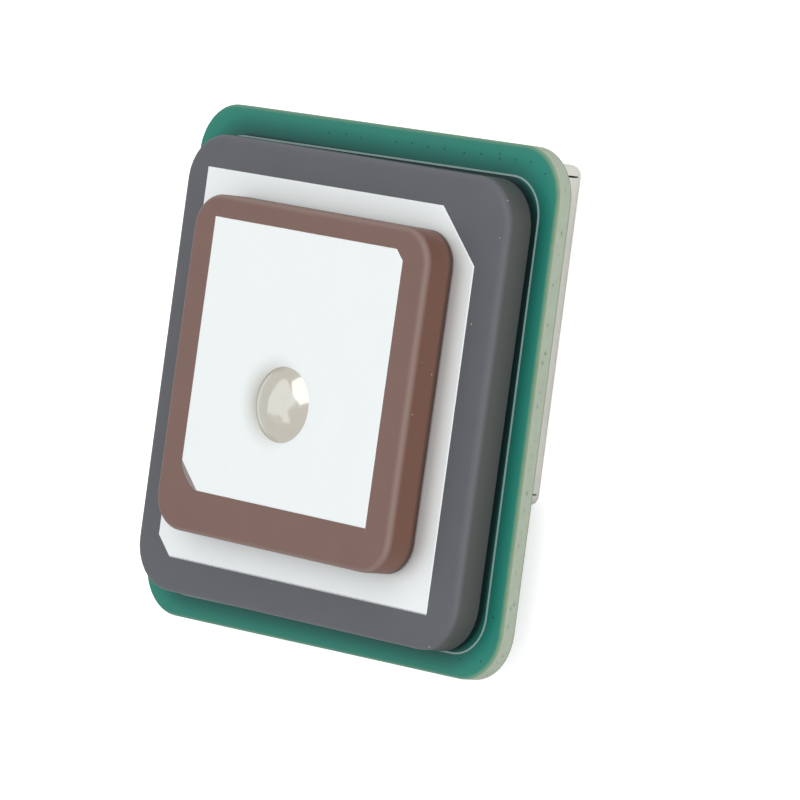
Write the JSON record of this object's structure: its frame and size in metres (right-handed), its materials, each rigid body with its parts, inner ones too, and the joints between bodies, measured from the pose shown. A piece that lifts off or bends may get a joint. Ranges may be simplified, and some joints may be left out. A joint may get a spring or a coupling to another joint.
{
  "type": "satellite positioning module",
  "caption": "Bare positioning module: square circuit board with two stacked ceramic antenna tiles on its front, a folded shield can and a side-entry connector on its back.",
  "frame": {"origin": "under the middle of the board, on the plane of the shield can's outer face", "axes": "+Z out of the antenna face, +Y towards the end of the board away from the connector, +X to the right when looking at the antenna face"},
  "size_m": [0.0276, 0.0278, 0.0075],
  "materials": {
    "solder_mask_board": "satin green solder mask on glass-epoxy laminate",
    "white_ink": "thin screen-printed ink",
    "foam_tape": "dark foam tape",
    "clear_tape": "thin adhesive tape",
    "grey_ceramic": "fired, unglazed, fine grained",
    "brown_ceramic": "fired, unglazed, fine grained",
    "fired_silver": "matt fired silver paste",
    "solder": "bright solder",
    "tinned_brass": "tinned",
    "nickel_silver": "rolled sheet",
    "nylon": "moulded natural nylon",
    "moulding_compound": "moulded black epoxy",
    "gold_lid": "plated metal lid",
    "capacitor_ceramic": "fired",
    "resistor_ceramic": "glazed",
    "inductor_ferrite": "fired"
  },
  "bodies": {
    "root": {"main_board": "solder_mask_board", "outline_print": "white_ink", "board_tape": "foam_tape", "lower_ceramic": "grey_ceramic", "lower_electrode": "fired_silver", "middle_tape": "clear_tape", "upper_ceramic": "brown_ceramic", "upper_electrode": "fired_silver", "feed_pin": "tinned_brass", "solder_dome": "solder", "feed_joint": "solder", "shield_can": "nickel_silver", "connector_housing": "nylon", "connector_contacts": "tinned_brass", "connector_tabs": "tinned_brass", "receiver_chip": "moulding_compound", "flash_memory": "moulding_compound", "voltage_regulator": "moulding_compound", "reference_oscillator": "gold_lid", "clock_crystal": "gold_lid", "input_filters": "moulding_compound", "low_noise_amplifiers": "moulding_compound", "chip_capacitors": "capacitor_ceramic", "chip_resistors": "resistor_ceramic", "chip_inductors": "inductor_ferrite"}
  },
  "joints": []
}
